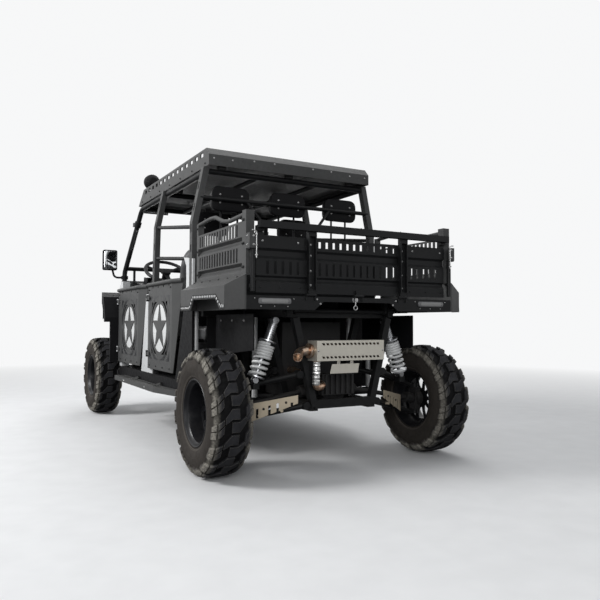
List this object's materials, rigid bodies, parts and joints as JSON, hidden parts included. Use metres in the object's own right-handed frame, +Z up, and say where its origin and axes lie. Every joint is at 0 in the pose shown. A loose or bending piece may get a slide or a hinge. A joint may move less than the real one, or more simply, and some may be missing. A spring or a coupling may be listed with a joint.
{
  "type": "side by side utility vehicle",
  "caption": "Open off-road utility vehicle with half doors, roll cage and roof, dumping load bed with drop tailgate, steering and rolling wheels.",
  "frame": {"origin": "on the ground, below the middle of the overall length and width", "axes": "+X to the vehicle's left, -Y its front, +Z up"},
  "size_m": [1.75, 3.71, 2.1288],
  "materials": {
    "frame_black": "satin",
    "dark_grey_paint": "textured satin",
    "white_plastic": "gloss",
    "black_plastic": "matte",
    "cast_metal": "rough",
    "bare_steel": "satin",
    "white_paint": "gloss",
    "shock_metal": "satin",
    "silver_tube": "satin",
    "bronzed_steel": "heat tinted",
    "shield_steel": "satin",
    "seat_vinyl": "grained",
    "lamp_glass": "clear lens in a black shell",
    "tail_lens": "smoked",
    "tyre": "dusty rubber",
    "rim_black": "satin"
  },
  "bodies": {
    "chassis": {"frame": "frame_black", "floor_pan": "black_plastic", "cab_panels": "white_plastic", "rear_wall": "black_plastic", "engine": "cast_metal", "gearcases": "cast_metal", "front_arms": "frame_black", "rear_arms": "frame_black", "arm_guards": "bare_steel", "shocks": "shock_metal", "springs": "white_paint", "rear_knuckles": "cast_metal", "roll_cage": "dark_grey_paint", "front_hoops": "frame_black", "roof": "dark_grey_paint", "lamps": "lamp_glass", "hood": "white_plastic", "front_fenders": "black_plastic", "grille": "black_plastic", "front_bumper": "frame_black", "dashboard": "black_plastic", "seat_bases": "black_plastic", "seat_cushions": "seat_vinyl", "seat_backs": "seat_vinyl", "headrests": "seat_vinyl", "side_steps": "dark_grey_paint", "mirrors": "black_plastic", "exhaust": "bronzed_steel", "heat_shield": "shield_steel", "bed_posts": "silver_tube", "wheel_wells": "black_plastic"},
    "dump_bed": {"bed_tub": "frame_black", "bed_sides": "dark_grey_paint", "bed_fenders": "dark_grey_paint", "rear_lamps": "tail_lens"},
    "tailgate": {"tailgate": "frame_black"},
    "steering_wheel": {"steering_wheel": "black_plastic"},
    "steering_rack": {"tie_rods": "frame_black"},
    "knuckle_left": {"knuckle_left": "cast_metal"},
    "door_front_left": {"door_front_left": "dark_grey_paint", "door_backing_front_left": "white_paint"},
    "wheel_front_left": {"tyre_front_left": "tyre", "rim_front_left": "rim_black"},
    "door_rear_left": {"door_rear_left": "dark_grey_paint", "door_backing_rear_left": "white_paint"},
    "wheel_rear_left": {"tyre_rear_left": "tyre", "rim_rear_left": "rim_black"},
    "knuckle_right": {"knuckle_right": "cast_metal"},
    "door_front_right": {"door_front_right": "dark_grey_paint", "door_backing_front_right": "white_paint"},
    "wheel_front_right": {"tyre_front_right": "tyre", "rim_front_right": "rim_black"},
    "door_rear_right": {"door_rear_right": "dark_grey_paint", "door_backing_rear_right": "white_paint"},
    "wheel_rear_right": {"tyre_rear_right": "tyre", "rim_rear_right": "rim_black"}
  },
  "joints": [
    {"name": "steer_left", "type": "hinge", "parent": "chassis", "child": "knuckle_left", "pos_m": [0.69, -1.425, 0.3555], "axis": [0, 0, 1], "range_deg": [-28, 28]},
    {"name": "steer_right", "type": "hinge", "parent": "chassis", "child": "knuckle_right", "pos_m": [-0.69, -1.425, 0.3555], "axis": [0, 0, 1], "range_deg": [-28, 28]},
    {"name": "rack_slide", "type": "slide", "parent": "chassis", "child": "steering_rack", "axis": [1, 0, 0], "range_m": [-0.046, 0.046]},
    {"name": "steering_turn", "type": "hinge", "parent": "chassis", "child": "steering_wheel", "pos_m": [0.4, -0.59, 1.3], "axis": [0, 0.5547, 0.8321], "range_deg": [-260, 260]},
    {"name": "spin_front_left", "type": "hinge", "parent": "knuckle_left", "child": "wheel_front_left", "pos_m": [0.755, -1.425, 0.3555], "axis": [1, 0, 0], "continuous": true},
    {"name": "spin_rear_left", "type": "hinge", "parent": "chassis", "child": "wheel_rear_left", "pos_m": [0.755, 1.46, 0.3555], "axis": [1, 0, 0], "continuous": true},
    {"name": "door_front_left_swing", "type": "hinge", "parent": "chassis", "child": "door_front_left", "pos_m": [0.728, -0.944, 0.8], "axis": [0, 0, -1], "range_deg": [0, 70]},
    {"name": "door_rear_left_swing", "type": "hinge", "parent": "chassis", "child": "door_rear_left", "pos_m": [0.728, 0.015, 0.8], "axis": [0, 0, -1], "range_deg": [0, 70]},
    {"name": "spin_front_right", "type": "hinge", "parent": "knuckle_right", "child": "wheel_front_right", "pos_m": [-0.755, -1.425, 0.3555], "axis": [1, 0, 0], "continuous": true},
    {"name": "spin_rear_right", "type": "hinge", "parent": "chassis", "child": "wheel_rear_right", "pos_m": [-0.755, 1.46, 0.3555], "axis": [1, 0, 0], "continuous": true},
    {"name": "door_front_right_swing", "type": "hinge", "parent": "chassis", "child": "door_front_right", "pos_m": [-0.728, -0.944, 0.8], "axis": [0, 0, 1], "range_deg": [0, 70]},
    {"name": "door_rear_right_swing", "type": "hinge", "parent": "chassis", "child": "door_rear_right", "pos_m": [-0.728, 0.015, 0.8], "axis": [0, 0, 1], "range_deg": [0, 70]},
    {"name": "bed_tilt", "type": "hinge", "parent": "chassis", "child": "dump_bed", "pos_m": [0, 1.62, 0.925], "axis": [-1, 0, 0], "range_deg": [0, 42]},
    {"name": "tailgate_drop", "type": "hinge", "parent": "dump_bed", "child": "tailgate", "pos_m": [0, 1.812, 1.008], "axis": [-1, 0, 0], "range_deg": [0, 90]}
  ],
  "couplings": [
    {"joint": "steer_right", "follows": "steer_left", "ratio": 1},
    {"joint": "rack_slide", "follows": "steer_left", "m_per_rad": -0.0913},
    {"joint": "steering_turn", "follows": "steer_left", "ratio": 9}
  ]
}
